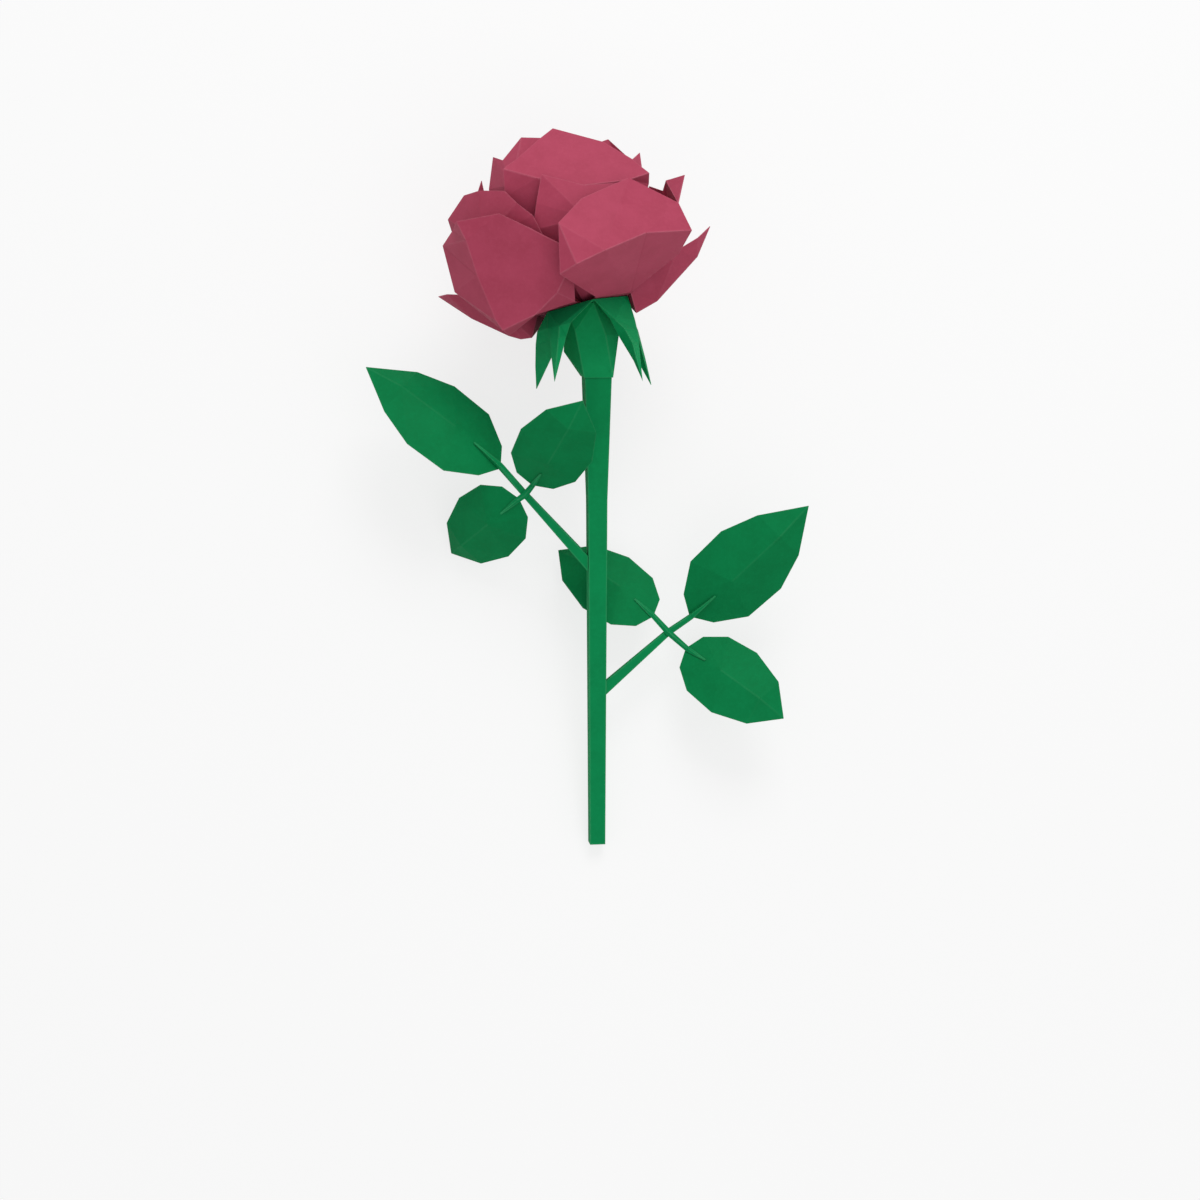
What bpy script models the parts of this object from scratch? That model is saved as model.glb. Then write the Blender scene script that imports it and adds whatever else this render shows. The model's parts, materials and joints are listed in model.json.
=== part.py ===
"""Folded paper rose: leaning faceted head, calyx, hip, square stem and two leafy branches.

The flower is laid out upright first: X to the right, Y away from the viewer, Z up the stem, with the
top of the stem at the origin. At the end every piece gets one shared placement that lays the flower
down on its back, the way it comes to rest. Sizes are in millimetres until a mesh is made.
"""
import math

import bmesh
import bpy
import numpy as np
from mathutils import Matrix, Vector

MM = 0.001

# Sheet
CARD = 0.4
GLUE_GAP = 0.3
LAYER = CARD + GLUE_GAP

# Head
HEAD_RADIUS = 74.0
HEAD_HEIGHT = 105.0
HEAD_LEAN_LEFT = 13.0
HEAD_LEAN_BACK = 8.0
HEAD_X = -8.9
HEAD_Z = -4.3
OUTER_HINGE = 28.0
MIDDLE_HINGE = 14.0
INNER_HINGE = 9.0
BACK_PETAL_OPENING = 10.0
BACK_PETAL_AZIMUTH = 180.0
FLAP_START = 0.35
PETAL_PATTERN_RADIUS = 74.0
PETAL_PATTERN_HEIGHT = 105.0
RIGHT_MIDDLE_AZIMUTH = 98.0
BACK_MIDDLE_AZIMUTH = 178.0
BACK_MIDDLE_SCALE = 0.96
BACK_LEFT_MIDDLE_AZIMUTH = -118.0
BACK_INNER_AZIMUTH = -158.0
BUD_SCALE = 0.52
BUD_SHRINK = 0.12
BUD_AZIMUTH = 5.0
BUD_STEP = 120.0
CORE_FOOT_RADIUS = 3.0
CORE_RADIUS = 7.5
CORE_HEIGHT = 50.0
CORE_WAIST_SHARE = 0.45
CORE_NECK_SHARE = 0.85
CORE_NECK_RADIUS = 5.25
CORE_SIDES = 6

# Edge corners that stand out as a flat point
RIGHT_MIDDLE_TIP = 4
BACK_LEFT_MIDDLE_TIP = 7
RIGHT_INNER_TIP = 7

# Calyx
CALYX_RADIUS = 26.0
CALYX_PATTERN_RADIUS = 26.0
CALYX_TURN = 13.6
# Sepals: rows of three corners from root to tip, then the tip: across, towards the viewer, up the head
# axis, for a calyx of the pattern radius. Each row runs towards the right seen from outside.
FRONT_RIGHT_SEPAL = (
    ((13.0, 21.0, -12.8), (15.5, 24.5, -14.4), (27.0, 8.0, -15.5)),
    ((16.0, 14.0, -24.0), (20.0, 22.0, -21.0), (27.0, 10.0, -22.0)),
    ((18.5, 13.0, -31.5), (22.5, 20.0, -29.5), (26.0, 12.0, -31.0)),
    ((21.0, 13.0, -39.0), (22.8, 18.0, -39.5), (24.5, 14.0, -42.5)),
    (23.5, 14.0, -52.5),
)
RIGHT_BACK_SEPAL = (
    ((25.0, -2.0, -8.0), (25.0, -12.0, -9.0), (16.0, -20.0, -8.0)),
    ((26.5, -3.0, -19.0), (27.5, -12.0, -20.0), (18.0, -20.0, -18.0)),
    ((27.0, -5.0, -34.0), (28.0, -10.0, -37.0), (22.5, -16.0, -34.0)),
    (28.0, -8.0, -54.0),
)
BACK_SEPAL = (
    ((4.0, -26.5, -8.0), (-6.5, -28.5, -8.5), (-16.0, -21.5, -8.0)),
    ((3.0, -27.5, -17.0), (-7.0, -31.0, -18.0), (-16.0, -23.0, -17.0)),
    ((-1.0, -28.0, -30.0), (-7.5, -31.0, -31.0), (-13.5, -25.5, -30.0)),
    (-7.5, -29.0, -44.0),
)
LEFT_BACK_SEPAL = (
    ((-26.0, -6.0, -8.0), (-31.0, 7.5, -9.5), (-24.0, 17.0, -9.5)),
    ((-30.0, -4.0, -16.0), (-33.5, 4.5, -16.0), (-23.5, 17.0, -17.0)),
    ((-33.5, 0.0, -29.0), (-36.5, 6.0, -28.5), (-25.5, 17.5, -26.5)),
    (-39.0, 6.0, -42.0),
)
FRONT_LEFT_SEPAL = (
    ((-23.5, 20.0, -10.0), (-17.0, 26.5, -11.0), (-10.0, 27.5, -10.7)),
    ((-24.0, 22.0, -17.0), (-19.0, 28.0, -18.0), (-14.5, 27.0, -18.2)),
    ((-25.5, 23.0, -27.5), (-23.0, 27.0, -29.6), (-21.0, 26.0, -30.7)),
    (-27.0, 25.0, -42.0),
)
SEPALS = (FRONT_RIGHT_SEPAL, RIGHT_BACK_SEPAL, BACK_SEPAL, LEFT_BACK_SEPAL, FRONT_LEFT_SEPAL)

# Hip
HIP_TOP_RADIUS = 15.0
HIP_PATTERN_RADIUS = 15.0
HIP_TOP_CORNERS = 5
HIP_TURN = -50.0
HIP_LOW_Z = -46.0
# Corners of the belly of the hip for the pattern radius: across, towards the viewer, up the stem
HIP_BELLY = (
    (-14.8, 12.5, -18.4), (3.5, 11.8, -21.0), (11.3, 2.0, -21.3), (5.0, -14.0, -25.0),
    (-14.0, -13.0, -28.0), (-21.7, 0.0, -31.3),
)
# Facets between the five top corners (0 to 4), the belly (5 to 10) and the low square (11 to 14)
HIP_FACETS = (
    (0, 1, 5), (1, 6, 5), (1, 7, 6), (1, 2, 7), (2, 3, 8), (2, 8, 7), (3, 4, 9), (3, 9, 8),
    (4, 0, 10), (4, 10, 9), (0, 5, 10), (5, 6, 14), (5, 14, 13), (6, 7, 14), (7, 11, 14),
    (7, 8, 11), (8, 9, 12), (8, 12, 11), (9, 10, 12), (10, 13, 12), (10, 5, 13),
)

# Stem
STEM_X = -2.0
STEM_TURN = 7.5
STEM_TOP_WIDTH = 16.2
STEM_UPPER_WIDTH = 11.6
STEM_MIDDLE_WIDTH = 10.4
STEM_LOW_WIDTH = 9.8
STEM_END_WIDTH = 9.4
STEM_UPPER_Z = -120.0
STEM_MIDDLE_Z = -185.0
STEM_LOW_Z = -255.0
STEM_END_Z = -332.0
STEM_TUCK = 4.0
STEM_TUCK_INSET = 1.0

# Branches
ROD_ROOT_WIDTH = 6.4
ROD_CROSS_WIDTH = 3.8
ROD_LEAF_WIDTH = 3.0
ROD_TIP_WIDTH = 0.9
ROD_SPIKE = 22.0
ROD_FOOT = 1.5
ROD_THINNEST_WALL_SHARE = 0.4
SQUARE_CORNERS = ((1, 1), (-1, 1), (-1, -1), (1, -1))
STALK_HALF_WIDTH = 1.9
STALK_TIP_HALF_WIDTH = 0.45
STALK_RIDGE = 1.3
STALK_SPIKE = 15.0
STALK_FOOT = 1.0
STALK_FOOT_HALF_WIDTH = 1.6
STEM_FITTING_STEPS = 12

# Placements on the branches: point, then heading, lift and roll in degrees for a leaf
BRANCHES = {
    "left": {
        "root": (-10.0, -2.0, -155.5),
        "cross": (-45.0, -3.5, -116.5),
        "end_leaf": ((-59.8, -2.0, -101.2), 142.4, -2.8, 36.5),
        "side_leaves": (
            ("left_lower_side_leaf", ((-48.6, -5.3, -119.0), -138.5, -36.3, 2.5)),
            ("left_upper_side_leaf", ((-40.6, -5.3, -110.8), 59.8, 35.6, 8.8)),
        ),
    },
    "right": {
        "root": (6.0, 2.0, -233.0),
        "cross": (41.5, 13.5, -203.3),
        "end_leaf": ((55.0, 17.0, -193.9), 44.5, 10.7, 7.5),
        "side_leaves": (
            ("right_inner_side_leaf", ((32.6, 11.8, -193.2), 146.2, -18.6, 33.0)),
            ("right_outer_side_leaf", ((52.6, 11.8, -212.8), -33.5, 18.1, -18.9)),
        ),
    },
}

# Leaves
END_LEAF_LENGTH = 101.0
END_LEAF_HALF_WIDTH = 26.0
SIDE_LEAF_LENGTH = 74.0
SIDE_LEAF_HALF_WIDTH = 23.3
LEAF_RIDGE = 7.0
LEAF_FAR_RIDGE = 5.5
LEAF_TIP_DROP = 2.25

# Rest: how far a hull facet has to face away from the viewer, and a rounding tolerance
REST_LEAST_BACKWARD = 0.5
REST_TOLERANCE = 1e-12

# Colours
CRIMSON = (0.42, 0.022, 0.052, 1.0)
DEEP_CRIMSON = (0.36, 0.016, 0.040, 1.0)
LEAF_GREEN = (0.0, 0.205, 0.052, 1.0)
STEM_GREEN = (0.0, 0.235, 0.060, 1.0)
CARD_ROUGHNESS = 0.72

# Corners of the large petal that stands front right: across, towards the viewer, up the head axis
FRONT_RIGHT_PETAL = (
    (8.0, 28.0, 0.0), (-9.0, 70.0, 12.2), (-3.0, 75.0, 39.5), (12.5, 64.0, 52.2),
    (41.5, 50.0, 59.8), (66.5, 38.9, 40.8), (70.5, 40.6, 23.4), (60.5, 22.5, 14.2),
    (28.0, 10.0, 0.0), (19.0, 74.0, 19.0), (33.0, 59.5, 44.4), (44.0, 60.0, 25.3),
    (1.6, 76.5, 14.8),
)
FRONT_RIGHT_FACETS = (
    (12, 1, 2), (9, 12, 2), (9, 2, 3), (9, 3, 10), (10, 3, 4), (10, 4, 5), (10, 5, 11), (9, 10, 11),
    (11, 5, 6), (11, 6, 7), (11, 7, 8), (9, 11, 8), (9, 8, 0), (9, 0, 12), (12, 0, 1),
)

# Corners of the large petal that stands front left
FRONT_LEFT_PETAL = (
    (-5.0, 30.5, 0.0), (-29.5, 8.0, 0.0), (-47.0, 22.0, -10.0), (-72.5, 19.0, 22.5),
    (-73.5, 16.0, 51.0), (-65.0, 28.0, 57.0), (-61.0, 49.0, 58.0), (-35.5, 58.0, 55.5),
    (-19.0, 59.0, 42.4), (-12.0, 59.2, 36.4), (-6.0, 59.5, 31.4), (0.0, 58.0, 19.9),
    (-13.5, 49.3, 4.6), (-28.5, 42.1, -3.7), (-49.5, 34.6, -7.6), (-58.0, 48.4, 46.4),
    (-56.5, 42.7, 26.2), (-52.0, 35.7, -1.4),
)
FRONT_LEFT_FACETS = (
    (2, 14, 17), (2, 17, 3), (3, 17, 16), (3, 16, 4), (4, 16, 15), (4, 15, 5), (5, 15, 6),
    (6, 15, 7), (7, 15, 8), (15, 16, 8), (8, 16, 9), (9, 16, 10), (10, 16, 12), (10, 12, 11),
    (16, 17, 13), (16, 13, 12), (17, 14, 13), (2, 1, 13), (2, 13, 14), (1, 0, 13), (13, 0, 12),
    (12, 0, 11),
)

# Corners of the middle petal that stands left: edge first, then the belly and the low belly
LEFT_MIDDLE_PETAL = (
    (-14.1, 4.7, 0.0), (-54.0, 12.0, 20.0), (-61.0, 6.0, 36.0), (-66.5, 6.0, 52.0),
    (-67.5, 12.0, 65.5), (-54.5, 22.0, 75.5), (-44.5, 32.0, 74.5), (-30.0, 44.0, 69.0),
    (-24.5, 51.0, 59.5), (-17.0, 53.5, 50.0), (-12.0, 50.0, 28.5), (-24.0, 44.0, 17.0),
    (-7.9, 12.5, 0.0), (-50.0, 38.0, 44.0), (-40.0, 28.0, 13.0),
)

# Corners of the middle petal that stands between the two large front petals
FRONT_MIDDLE_PETAL = (
    (0.1, 14.9, 0.0), (-5.0, 40.0, 13.0), (-11.0, 43.0, 24.0), (-19.0, 48.0, 42.5),
    (-13.5, 50.0, 57.0), (-7.0, 50.0, 72.5), (15.5, 52.0, 60.5), (42.0, 46.5, 57.0),
    (50.0, 41.0, 46.5), (46.0, 42.0, 28.0), (34.0, 40.0, 18.0), (9.5, 11.5, 0.0),
    (12.0, 58.0, 41.5), (12.0, 48.0, 12.0),
)

# Corners of the inner petal that domes over the front
FRONT_INNER_PETAL = (
    (-1.9, 9.5, 0.0), (-18.0, 30.0, 18.0), (-24.0, 34.0, 45.5), (-30.5, 38.0, 66.0),
    (-28.0, 41.0, 81.5), (-19.0, 36.5, 86.0), (-3.5, 26.0, 96.5), (5.0, 20.5, 101.5),
    (32.0, 23.5, 86.5), (46.0, 29.5, 72.0), (50.5, 32.5, 65.5), (54.0, 34.0, 61.0),
    (52.5, 28.0, 56.0), (42.0, 30.0, 36.0), (26.0, 22.0, 16.0), (5.0, 8.3, 0.0),
    (-10.0, 45.5, 71.0), (15.5, 47.0, 60.5), (41.5, 40.5, 58.8), (10.0, 38.0, 22.0),
)
FRONT_INNER_FACETS = (
    (16, 3, 4), (16, 4, 5), (16, 5, 6), (16, 6, 7), (16, 7, 17), (17, 7, 8), (17, 8, 18),
    (18, 8, 9), (18, 9, 10), (18, 10, 11), (18, 11, 12), (18, 12, 13), (17, 18, 13), (2, 3, 16),
    (2, 16, 19), (16, 17, 19), (17, 13, 19), (19, 13, 14), (19, 14, 15), (19, 15, 0), (19, 0, 1),
    (19, 1, 2),
)
# Corners of an inner petal at the sides and back: edge first, then the belly and the low belly
BACK_INNER_PETAL = (
    (-3.0, 9.0, 0.0), (-18.0, 32.0, 16.0), (-28.0, 38.0, 36.0), (-32.0, 41.0, 60.0),
    (-26.0, 36.0, 82.0), (-14.0, 24.0, 98.0), (2.0, 20.0, 103.0), (16.0, 26.0, 96.0),
    (28.0, 36.0, 80.0), (31.0, 41.0, 58.0), (27.0, 38.0, 35.0), (18.0, 32.0, 16.0),
    (3.0, 9.0, 0.0), (0.0, 53.0, 52.0), (0.0, 38.0, 16.0),
)

# Corners of a middle petal at the sides and back: edge first, then the belly and the low belly
BACK_MIDDLE_PETAL = (
    (-5.0, 14.0, 0.0), (-24.0, 46.0, 14.0), (-32.0, 54.0, 34.0), (-34.0, 56.0, 54.0),
    (-27.0, 54.0, 68.0), (-9.0, 53.0, 76.0), (12.0, 53.0, 74.0), (28.0, 54.0, 66.0),
    (34.0, 56.0, 52.0), (32.0, 54.0, 34.0), (24.0, 46.0, 14.0), (5.0, 14.0, 0.0),
    (0.0, 68.0, 42.0), (0.0, 50.0, 13.0),
)

# Corners of the middle petal at the right, whose tip curls outwards
RIGHT_MIDDLE_PETAL = (
    (-5.0, 14.0, 0.0), (-26.0, 42.0, 14.0), (-34.0, 48.0, 32.0), (-29.0, 63.5, 43.0),
    (-14.4, 73.7, 60.5), (-8.8, 62.9, 60.5), (-4.5, 60.5, 55.5), (8.4, 55.2, 62.0),
    (32.0, 52.0, 42.0), (34.0, 48.0, 32.0), (26.0, 42.0, 14.0), (5.0, 14.0, 0.0),
    (0.0, 60.0, 38.0), (0.0, 47.0, 13.0),
)

# Corners of the middle petal at the back left, which has a narrow tip
BACK_LEFT_MIDDLE_PETAL = (
    (-5.0, 14.0, 0.0), (-24.0, 46.0, 14.0), (-32.0, 54.0, 34.0), (-34.0, 56.0, 54.0),
    (-27.0, 54.0, 68.0), (-9.0, 53.0, 74.0), (15.0, 42.0, 71.0), (20.2, 38.6, 85.5),
    (30.0, 44.0, 68.0), (34.0, 54.0, 34.0), (24.0, 46.0, 14.0), (5.0, 14.0, 0.0),
    (0.0, 68.0, 42.0), (0.0, 50.0, 13.0),
)

# Corners of the inner petal at the left
LEFT_INNER_PETAL = (
    (-9.4, 1.8, 0.0), (-34.0, 4.0, 22.0), (-42.0, 8.0, 50.0), (-40.0, 5.0, 78.0),
    (-33.5, 2.0, 96.5), (-28.0, 12.0, 91.5), (-14.5, 10.0, 102.5), (-3.5, 8.0, 100.0),
    (0.0, 14.0, 90.0), (-8.0, 33.0, 64.0), (-16.0, 31.0, 40.0), (-11.0, 20.0, 16.0),
    (-6.1, 7.3, 0.0), (-25.5, 29.0, 73.0), (-24.0, 20.0, 22.0),
)

# Corners of the inner petal at the right
RIGHT_INNER_PETAL = (
    (7.1, 6.0, 0.0), (20.0, 20.0, 16.0), (32.0, 24.0, 38.0), (32.0, 22.0, 64.0),
    (20.0, 10.0, 88.0), (35.5, 6.0, 90.5), (46.0, 12.0, 74.0), (52.0, 0.0, 79.5),
    (51.0, 5.0, 69.0), (46.0, -20.0, 56.0), (42.0, -24.0, 36.0), (24.0, -14.0, 15.0),
    (8.8, -3.0, 0.0), (44.0, 8.0, 54.0), (30.0, 4.0, 16.0),
)

# Corners of the open outer petal at the right
RIGHT_OUTER_PETAL = (
    (28.2, 7.5, 0.0), (43.0, 10.0, 9.0), (60.5, 14.0, 17.5), (74.0, 9.0, 22.5),
    (83.0, 2.0, 28.5), (72.0, -14.0, 22.0), (62.0, -30.0, 19.0), (42.0, -26.0, 6.0),
    (23.5, -17.2, 0.0), (71.5, 2.0, 12.5), (42.5, 0.0, -7.5), (28.8, 3.0, -12.0),
)
RIGHT_OUTER_FACETS = (
    (2, 3, 9), (3, 4, 9), (2, 9, 10), (1, 2, 10), (0, 1, 10), (0, 10, 11),
    (4, 5, 9), (5, 6, 9), (9, 6, 10), (6, 7, 10), (7, 11, 10), (7, 8, 11), (8, 0, 11),
)

# Corners of the open outer petal at the left
LEFT_OUTER_PETAL = (
    (-23.2, -17.6, 0.0), (-42.0, -28.0, 8.0), (-60.0, -32.0, 18.0), (-74.0, -22.0, 24.0),
    (-84.5, -6.0, 25.5), (-78.5, 6.0, 24.0), (-68.0, 12.0, 20.5), (-46.0, 12.0, 4.0),
    (-28.9, 3.6, 0.0), (-67.5, -2.0, 7.5), (-48.0, 2.0, -8.0), (-41.5, 4.0, -11.7),
    (-35.0, 4.0, -12.3),
)
LEFT_OUTER_FACETS = (
    (5, 6, 9), (6, 10, 9), (6, 7, 10), (7, 11, 10), (7, 12, 11), (7, 8, 12), (4, 5, 9), (3, 4, 9),
    (2, 3, 9), (2, 9, 10), (1, 2, 10), (1, 10, 11), (1, 11, 12), (0, 1, 12), (8, 0, 12),
)

# Corners of an outer petal that stands wide open
OPEN_PETAL = (
    (-11.0, 27.0, 0.0), (-28.0, 40.0, 7.0), (-35.0, 58.0, 21.0), (-24.0, 74.0, 31.0),
    (0.0, 84.0, 35.0), (24.0, 74.0, 31.0), (35.0, 58.0, 21.0), (28.0, 40.0, 7.0),
    (11.0, 27.0, 0.0), (0.0, 62.0, 3.0), (0.0, 43.0, -9.0),
)
OPEN_FACETS = (
    (9, 2, 3), (9, 3, 4), (9, 4, 5), (9, 5, 6), (10, 9, 6), (10, 2, 9), (10, 1, 2), (10, 0, 1),
    (10, 8, 0), (10, 7, 8), (10, 6, 7),
)

# Leaf cutting pattern as shares of the length and of the half width
END_LEAF_PATTERN = ((0.076, 0.50), (0.255, 0.97), (0.52, 1.0), (0.745, 0.69))
SIDE_LEAF_PATTERN = ((0.057, 0.52), (0.224, 0.91), (0.497, 1.0), (0.786, 0.70))
LEAF_FOLD_NEAR = 0.36
LEAF_FOLD_FAR = 0.76


def card_material(name, colour):
    """A matt coloured card."""
    material = bpy.data.materials.new(name)
    material.use_nodes = True
    shader = material.node_tree.nodes["Principled BSDF"]
    shader.inputs["Base Color"].default_value = colour
    shader.inputs["Roughness"].default_value = CARD_ROUGHNESS
    shader.inputs["Metallic"].default_value = 0.0
    return material


def make_object(name, points, faces, material):
    """Makes one mesh object from millimetre points and faces."""
    mesh = bpy.data.meshes.new(name)
    mesh.from_pydata([tuple(Vector(point) * MM) for point in points], [], faces)
    mesh.materials.append(material)
    mesh.validate()
    piece = bpy.data.objects.new(name, mesh)
    bpy.context.scene.collection.objects.link(piece)
    return piece


def folded_sheet(name, points, faces, material):
    """Gives a folded surface the thickness of the card, half to each side."""
    piece = make_object(name, points, faces, material)
    sheet = bmesh.new()
    sheet.from_mesh(piece.data)
    bmesh.ops.recalc_face_normals(sheet, faces=sheet.faces)
    sheet.to_mesh(piece.data)
    sheet.free()
    thickness = piece.modifiers.new("Card thickness", "SOLIDIFY")
    thickness.thickness = CARD * MM
    thickness.offset = 0.0
    thickness.use_even_offset = False
    thickness.use_quality_normals = True
    return piece


def head_frame():
    """Placement of the leaning head: X right, Y away from the viewer, Z up the head axis."""
    lean_left = Matrix.Rotation(math.radians(-HEAD_LEAN_LEFT), 4, "Y")
    lean_back = Matrix.Rotation(math.radians(-HEAD_LEAN_BACK), 4, "X")
    return Matrix.Translation((HEAD_X, 0.0, HEAD_Z)) @ lean_left @ lean_back


def pattern_point(point):
    """Turns a pattern corner into head millimetres, with Y away from the viewer."""
    wide = HEAD_RADIUS / PETAL_PATTERN_RADIUS
    tall = HEAD_HEIGHT / PETAL_PATTERN_HEIGHT
    return Vector((point[0] * wide, -point[1] * wide, point[2] * tall))


def petal(name, pattern, facets, base, hinge, ring, turn, material, opening=0.0, scale=1.0):
    """One petal: the pattern is scaled, opened outwards at its hinge and turned about the head axis.

    base holds the two pattern corners at the hinge; a glue flap runs from them to the middle.
    ring counts the card layers between the calyx and this flap.
    """
    height = ring * LAYER
    corners = [pattern_point(point) * scale for point in pattern]
    right, left = (corners[index].copy() for index in base)
    middle = (right + left) / 2
    outward = Vector((middle.x, middle.y, 0.0)).normalized()
    across = Vector((-outward.y, outward.x, 0.0))
    bend = Matrix.Rotation(math.radians(opening), 4, across)
    placed = []
    for index, corner in enumerate(corners):
        if index in base:
            placed.append(corner + Vector((0.0, 0.0, height)))
        else:
            placed.append(bend @ (corner - outward * hinge) + outward * hinge + Vector((0.0, 0.0, height)))
    inner = hinge * FLAP_START
    half = (right - left).length / 2 * FLAP_START
    side = (right - left).normalized()
    start = len(placed)
    placed.append(outward * inner + side * half + Vector((0.0, 0.0, height)))
    placed.append(outward * inner - side * half + Vector((0.0, 0.0, height)))
    faces = list(facets) + [(base[0], base[1], start + 1), (base[0], start + 1, start)]
    swing = Matrix.Rotation(math.radians(turn), 4, "Z")
    frame = head_frame()
    return folded_sheet(name, [frame @ (swing @ corner) for corner in placed], faces, material)


def rim_facets(corner_count, tip=None):
    """Facets of a petal whose edge corners fan to a belly point, and the lowest ones to a low belly.

    tip is an edge corner that stands out as a flat point of its own.
    """
    belly = corner_count
    low = corner_count + 1
    last = corner_count - 1
    facets = [(belly, index, index + 1) for index in range(2, last - 2) if tip not in (index, index + 1)]
    if tip is not None:
        facets += [(tip - 1, tip, tip + 1), (belly, tip - 1, tip + 1)]
    facets += [(belly, last - 2, low), (low, last - 2, last - 1), (low, last - 1, last)]
    facets += [(low, last, 0), (low, 0, 1), (low, 1, 2), (belly, low, 2)]
    return facets


def outer_petals(material):
    """Five large petals, glued to the calyx; the three at the side and back stand open."""
    petal("outer_petal_front_right", FRONT_RIGHT_PETAL, FRONT_RIGHT_FACETS, (8, 0), OUTER_HINGE, 1, 0.0,
          material)
    petal("outer_petal_front_left", FRONT_LEFT_PETAL, FRONT_LEFT_FACETS, (0, 1), OUTER_HINGE, 1, 0.0,
          material)
    petal("outer_petal_right", RIGHT_OUTER_PETAL, RIGHT_OUTER_FACETS, (8, 0), OUTER_HINGE, 1, 0.0, material)
    petal("outer_petal_back", OPEN_PETAL, OPEN_FACETS, (8, 0), OUTER_HINGE, 1, BACK_PETAL_AZIMUTH,
          material, BACK_PETAL_OPENING)
    petal("outer_petal_left", LEFT_OUTER_PETAL, LEFT_OUTER_FACETS, (8, 0), OUTER_HINGE, 1, 0.0, material)


def middle_petals(material):
    """Five petals inside the outer ring."""
    left = rim_facets(len(LEFT_MIDDLE_PETAL) - 2)
    front = rim_facets(len(FRONT_MIDDLE_PETAL) - 2)
    right = rim_facets(len(RIGHT_MIDDLE_PETAL) - 2, RIGHT_MIDDLE_TIP)
    back = rim_facets(len(BACK_MIDDLE_PETAL) - 2)
    back_left = rim_facets(len(BACK_LEFT_MIDDLE_PETAL) - 2, BACK_LEFT_MIDDLE_TIP)
    petal("middle_petal_left", LEFT_MIDDLE_PETAL, left, (12, 0), MIDDLE_HINGE, 2, 0.0, material)
    petal("middle_petal_front", FRONT_MIDDLE_PETAL, front, (11, 0), MIDDLE_HINGE, 2, 0.0, material)
    petal("middle_petal_right", RIGHT_MIDDLE_PETAL, right, (11, 0), MIDDLE_HINGE, 2, RIGHT_MIDDLE_AZIMUTH,
          material)
    petal("middle_petal_back", BACK_MIDDLE_PETAL, back, (11, 0), MIDDLE_HINGE, 2, BACK_MIDDLE_AZIMUTH,
          material, 0.0, BACK_MIDDLE_SCALE)
    petal("middle_petal_back_left", BACK_LEFT_MIDDLE_PETAL, back_left, (11, 0), MIDDLE_HINGE, 2,
          BACK_LEFT_MIDDLE_AZIMUTH, material)


def inner_petals(material):
    """Four petals that dome inwards."""
    back = rim_facets(len(BACK_INNER_PETAL) - 2)
    right = rim_facets(len(RIGHT_INNER_PETAL) - 2, RIGHT_INNER_TIP)
    left = rim_facets(len(LEFT_INNER_PETAL) - 2)
    petal("inner_petal_front", FRONT_INNER_PETAL, FRONT_INNER_FACETS, (15, 0), INNER_HINGE, 3, 0.0,
          material)
    petal("inner_petal_right", RIGHT_INNER_PETAL, right, (12, 0), INNER_HINGE, 3, 0.0, material)
    petal("inner_petal_back", BACK_INNER_PETAL, back, (12, 0), INNER_HINGE, 3, BACK_INNER_AZIMUTH,
          material)
    petal("inner_petal_left", LEFT_INNER_PETAL, left, (12, 0), INNER_HINGE, 3, 0.0, material)


def bud_petals(material):
    """Three small petals wrapped around the core."""
    for index, name in enumerate(("bud_petal_front", "bud_petal_right", "bud_petal_left")):
        scale = BUD_SCALE * (1.0 - BUD_SHRINK * index)
        azimuth = BUD_AZIMUTH + BUD_STEP * index
        petal(name, FRONT_INNER_PETAL, FRONT_INNER_FACETS, (15, 0), INNER_HINGE, 4, azimuth, material,
              0.0, scale)


def bud_core(material):
    """The rolled middle of the bud: a six-sided cone of card, open below."""
    height = 5 * LAYER
    rows = (
        (CORE_FOOT_RADIUS, height),
        (CORE_RADIUS, height + CORE_HEIGHT * CORE_WAIST_SHARE),
        (CORE_NECK_RADIUS, height + CORE_HEIGHT * CORE_NECK_SHARE),
    )
    points = []
    for radius, level in rows:
        for corner in range(CORE_SIDES):
            angle = 2 * math.pi * corner / CORE_SIDES
            points.append(Vector((radius * math.cos(angle), radius * math.sin(angle), level)))
    points.append(Vector((0.0, 0.0, height + CORE_HEIGHT)))
    faces = []
    for row in range(len(rows) - 1):
        for corner in range(CORE_SIDES):
            following = (corner + 1) % CORE_SIDES
            low = row * CORE_SIDES
            high = low + CORE_SIDES
            faces.append((low + corner, low + following, high + following, high + corner))
    top = (len(rows) - 1) * CORE_SIDES
    for corner in range(CORE_SIDES):
        faces.append((top + corner, top + (corner + 1) % CORE_SIDES, len(points) - 1))
    frame = head_frame()
    folded_sheet("bud_core", [frame @ point for point in points], faces, material)


def ring_angle(azimuth):
    """Outward and sideways directions at an azimuth counted from the viewer towards the right."""
    angle = math.radians(azimuth)
    outward = Vector((math.sin(angle), -math.cos(angle), 0.0))
    sideways = Vector((math.cos(angle), math.sin(angle), 0.0))
    return outward, sideways


def sepal_point(corner):
    """Turns a corner of a sepal into head millimetres, with Y away from the viewer."""
    share = CALYX_RADIUS / CALYX_PATTERN_RADIUS
    return Vector((corner[0] * share, -corner[1] * share, corner[2] * share))


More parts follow.
